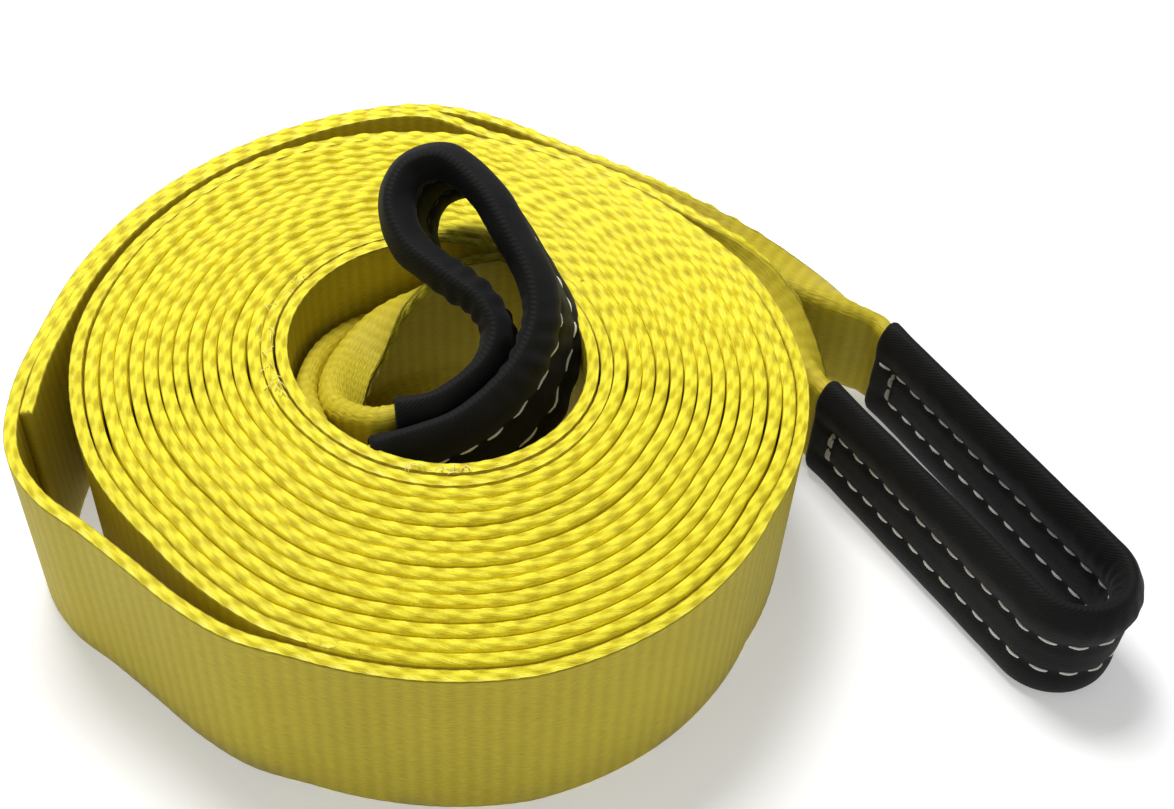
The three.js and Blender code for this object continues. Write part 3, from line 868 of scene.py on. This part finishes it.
# %% The sleeve's section and its wrinkles
SLEEVE_HALF = SLEEVE_WIDTH / 2
LOWER_ROW = 15.0 - SLEEVE_HALF
UPPER_ROW = 31.0 - SLEEVE_HALF
HALF_THICK = 4.25
MOUTH_OPEN = 0.9
ROLL = 1.3
ROLL_UP = 16.0
ROLL_WIDE = 6.5
LOW_ROLL = 0.6
LOW_ROLL_UP = -18.0
LOW_ROLL_WIDE = 4.5
ROW_DEEP = 1.0
ROW_WIDE = 1.9
OUTER_FAT = ((0, 400), (2.0, 2.0))
INNER_FAT = ((30, 62, 215, 250), (1.3, 3.1, 3.1, 1.3))
STITCH_PITCH = 9.0
STITCH_LONG = 6.9
ROW_END = 10.0
SECTION_POINTS = 34
SLEEVE_STEP = 1.1
WAVE_SIZES = (34, 23, 17, 12, 9, 7)
WAVE_SHIFT = 6.28
PUCKER = 0.95
PUCKER_PITCH = 10.5
CREASE = 0.55
CREASE_PITCH = 6.8
PARTING = 62


def hump(x, wide):
    return np.exp(-((x / wide) ** 2))


def half_thickness(v, mouth, fat):
    """How far the cloth stands off the sleeve's middle, v mm up; mouth is 1 at a mouth, 0 inside."""
    roll = (ROLL + (fat - ROLL) * (1 - mouth)) * hump(v - ROLL_UP, ROLL_WIDE)
    roll = roll + LOW_ROLL * hump(v - LOW_ROLL_UP, LOW_ROLL_WIDE)
    rows = ROW_DEEP * (hump(v - UPPER_ROW, ROW_WIDE) + hump(v - LOWER_ROW, ROW_WIDE))
    ends = np.sqrt(np.clip(1 - np.abs(v / (SLEEVE_HALF + 0.15)) ** 5, 0, 1))
    return (HALF_THICK + MOUTH_OPEN * mouth + roll - rows * (1 - mouth)) * ends


def wave_field(d, v, seed):
    """Soft cloth unevenness from a few crossing waves."""
    r = np.random.default_rng(seed)
    total = np.zeros(np.broadcast(d, v).shape)
    for size in WAVE_SIZES:
        turn, shift = r.uniform(-0.9, 0.9), r.uniform(0, WAVE_SHIFT)
        far = d * np.cos(turn) + v * np.sin(turn) * 1.6
        total = total + size / WAVE_SIZES[0] * np.sin(2 * np.pi * far / size + shift)
    return total / 2.2


def dimples(d, v, deep):
    """The cloth is drawn in at every stitch of both rows."""
    rows = hump(v - UPPER_ROW, 3.5) + hump(v - LOWER_ROW, 3.0)
    return -deep * (0.5 + 0.5 * np.cos(2 * np.pi * d / STITCH_PITCH)) * rows


def outer_wrinkles(d, v, face):
    """Extra thickness on the outer sleeve: dimples at the rows, puckers inside the tip."""
    tip = hump(d - (FAR_LEG + TIP_ARC / 2), TIP_ARC * 0.55)
    inside = np.where(face < 0, 1.0, 0.35)
    folds = np.abs(np.sin(2 * np.pi * d / PUCKER_PITCH + 0.05 * v)) * hump(v - 14, 12)
    soft = 0.3 * wave_field(d, v, 5 if face > 0 else 6) * (0.4 + 0.6 * hump(v - 15, 9))
    return dimples(d, v, 0.35) - PUCKER * tip * inside * folds + soft


def inner_wrinkles(d, v, face):
    """The inner sleeve: cross wrinkles where its legs part, and soft creases along the drop."""
    parting = hump(d - PARTING, 16) + hump(d - (INNER_LONG - PARTING), 16)
    cross = CREASE * parting * np.sin(2 * np.pi * d / CREASE_PITCH + 0.12 * v)
    return dimples(d, v, 0.3) + cross + 0.34 * wave_field(d, v, 7 if face > 0 else 8)


def sleeve_surface(eye, wrinkles, long, fat):
    """Gives places on a sleeve: d along it, v up it, on the face +1 or -1, with some lift off it."""
    def place(d, v, face, lift=0.0):
        d, v = np.broadcast_arrays(np.asarray(d, float), np.asarray(v, float))
        middle, heading, stand = eye(d.ravel())
        across = unit(np.cross(stand, heading))
        ends = np.clip((SLEEVE_HALF - np.abs(v)) / 3.0, 0, 1)
        mouth = hump(np.minimum(d, long - d), 6.0)
        out = half_thickness(v, mouth, np.interp(d, *fat)) + wrinkles(d, v, face) * ends + lift
        flat = middle + stand * v.reshape(-1, 1) + across * (face * out).reshape(-1, 1)
        return flat.reshape(d.shape + (3,))
    return place


# %% [markdown]
# ## Building a sleeve
# A real sleeve is one rectangle of cloth sewn into a tube. It could be a single skin, but a skin
# has no thickness at the mouths, so the outside is swept first, drawn in a little to give the
# inside, and the two are joined by a hem at each mouth.

# %% Outside, inside and hems in one closed skin
INSIDE_SHARE = 0.8
INSIDE_TALL = 0.15
HEM = 1.1


def sleeve(name, eye, long, surface, node):
    d = np.linspace(0, long, int(long / SLEEVE_STEP) + 1)
    swing = np.sin(np.linspace(-math.pi / 2, math.pi / 2, SECTION_POINTS))
    up = swing * SLEEVE_HALF
    outside = np.concatenate([
        surface(d[:, None], up[None, :], 1),
        surface(d[:, None], up[None, -2:0:-1], -1),
    ], 1)
    middle, heading, stand = (part[:, None] for part in eye(d))
    high = ((outside - middle) * stand).sum(-1, keepdims=True)
    inside = middle + (outside - middle) * INSIDE_SHARE + stand * high * INSIDE_TALL
    ends = [0, -1]
    hem = (outside[ends] + inside[ends]) / 2 + heading[ends] * np.array([-HEM, HEM])[:, None, None]
    loops = np.concatenate([outside, hem[1:], inside[::-1], hem[:1]])
    count, ring = loops.shape[:2]
    v_flat = np.concatenate([up, 2 * SLEEVE_HALF - up[-2:0:-1]])
    along = np.concatenate([d, d[-1:] + 1, d[::-1], d[:1] - 1])
    uv = np.stack(np.broadcast_arrays(along[:, None], v_flat[None]), -1).reshape(-1, 2) * MM
    a = np.arange(count)[:, None] * ring
    b = (np.arange(count)[:, None] + 1) % count * ring
    k = np.arange(ring)[None]
    n = (k + 1) % ring
    faces = np.stack([a + k, b + k, b + n, a + n], -1).reshape(-1, 4).tolist()
    piece = mesh_piece(name, loops.reshape(-1, 3), faces, black, uv)
    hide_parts(node)
    print(name + ":", len(faces), "faces")
    return piece


outer_surface = sleeve_surface(outer_eye, outer_wrinkles, OUTER_LONG, OUTER_FAT)
inner_surface = sleeve_surface(inner_eye, inner_wrinkles, INNER_LONG, INNER_FAT)
outer_sleeve = sleeve("outer_sleeve", outer_eye, OUTER_LONG, outer_surface, "outer_eye_sleeve")
inner_sleeve = sleeve("inner_sleeve", inner_eye, INNER_LONG, inner_surface, "inner_eye_sleeve")

# %% [markdown]
# ## Sewing
# The sleeves are sewn with thick off-white thread in a long lock stitch. Each stitch lies in a shallow
# dimple, stands a little proud in its middle and goes down into the cloth at both ends. A dashed texture
# would lie flat, so every stitch is its own short thread, and all those of a seam are one mesh. Inside the
# inner eye's drop the thread lies in shadow, and there it is coloured near black as painted shade.

# %% A row of stitches
THREAD = 0.62
THREAD_SIDES = 6
SIDEWAYS = (0.31, 0.17, 0.93)
END_STRANDS = 2
END_FAT = 1.15
THREAD_DIP = np.array([-0.6, 0.05, 0.25, 0.3, 0.25, 0.05, -0.6])
THREAD_FAT = np.array([0.6, 0.95, 1.0, 1.05, 1.0, 0.95, 0.6])


def threads(name, paths, material, fat=THREAD):
    """One mesh of short threads, each along a path of a few places."""
    points, faces = [], []
    turn = np.arange(THREAD_SIDES) * 2 * math.pi / THREAD_SIDES
    for path in paths:
        base = len(points)
        path = np.asarray(path, float)
        heading = unit(np.gradient(path, axis=0))
        side = unit(np.cross(heading, SIDEWAYS))
        other = np.cross(heading, side)
        thickness = fat * np.interp(np.linspace(0, 1, len(path)), np.linspace(0, 1, 7), THREAD_FAT)
        for i in range(len(path)):
            ring = np.outer(np.cos(turn), side[i]) + np.outer(np.sin(turn), other[i])
            points.extend(path[i] + thickness[i] * ring)
        faces.extend([base + k for k in face] for face in tube_faces(len(path), THREAD_SIDES))
    piece = mesh_piece(name, points, faces, material)
    print(name + ":", len(paths), "threads")
    return piece


def row_paths(surface, face, from_d, to_d, level, shift=0.0):
    """Stitches along a sleeve at one level, a little uneven as sewing is."""
    paths = []
    start = from_d + shift
    while start + STITCH_LONG <= to_d:
        long = STITCH_LONG + rng.uniform(-0.4, 0.4)
        d = start + np.linspace(0, long, len(THREAD_DIP))
        v = level + rng.uniform(-0.25, 0.25) + np.linspace(-0.2, 0.2, len(d))
        paths.append(surface(d, v, face, THREAD_DIP))
        start += STITCH_PITCH
    return paths


def closing_paths(surface, face, d):
    """The end of a seam: a few stitches across, sewn over each other."""
    paths = []
    for strand in range(END_STRANDS):
        for part in range(2):
            low = LOWER_ROW + 0.4 + part * 8.0 + 0.5 * strand
            v = np.linspace(low, low + 7.0, len(THREAD_DIP))
            paths.append(surface(d + (strand - 0.5) * 0.8, v, face, THREAD_DIP + 0.25 * strand))
    return paths


def seam(name, surface, long, face, node=None, mouth_row=False, yarns=(white_thread, taupe_thread)):
    """Both rows of one face and the stitches across their ends; yarns: of the rows, of the ends."""
    upper_from = 1.0 if mouth_row else ROW_END
    rows = row_paths(surface, face, ROW_END, long - ROW_END, LOWER_ROW)
    rows += row_paths(surface, face, upper_from, long - ROW_END, UPPER_ROW, 0.6)
    piece = threads(name, rows, yarns[0])
    ends = closing_paths(surface, face, ROW_END) + closing_paths(surface, face, long - ROW_END)
    threads(name + "_ends", ends, yarns[1], THREAD * END_FAT)
    if node:
        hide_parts(node)


seam("outer_eye_outer_seam", outer_surface, OUTER_LONG, 1, "outer_eye_outside_thread")
seam("outer_eye_inner_seam", outer_surface, OUTER_LONG, -1, "outer_eye_inside_thread", True)
seam("inner_eye_outer_seam", inner_surface, INNER_LONG, -1, "inner_eye_thread")
# The stitches inside the drop are coloured near black as painted shade.
seam("inner_eye_inner_seam", inner_surface, INNER_LONG, 1, yarns=(painted_shade_thread, painted_shade_thread))

# %% [markdown]
# ## Pulled yarn
# Where the strap has been handled most, beside the inner eye, fine filaments have been pulled out of
# the selvedge and stand as small pale loops. They are thin threads too, so the sewing's tool draws
# them: half rounds of a few millimetres, turned every way, on the edges of the innermost turns.

# %% Small loops on the innermost edges
LOOP_GROUPS = [(26, 148, 214, 62.0, 69.0), (12, 262, 284, 58.5, 61.5)]
LOOP_FAT = 0.16
loose_yarn = thread_finish("loose_yarn", (1.0, 0.94, 0.45), (0.9, 0.8, 0.2))
loops = []
for count, first_angle, last_angle, near, far in LOOP_GROUPS:
    for _ in range(count):
        on_turns = coil_place(rng.uniform(near, far), rng.uniform(first_angle, last_angle))
        x, y = on_turns + SPIRAL_SHIFT - BORE_SHIFT
        turned, span, tall = rng.uniform(0, math.pi), rng.uniform(1.2, 2.2), rng.uniform(0.8, 1.7)
        bow = np.linspace(0, math.pi, 7)
        flat = np.outer(np.cos(bow) * span, (math.cos(turned), math.sin(turned), 0))
        loops.append((x, y, WEBBING - 0.3) + flat + np.outer(np.sin(bow) * tall, UP))
pulled_yarn = threads("pulled_yarn", loops, loose_yarn, LOOP_FAT)
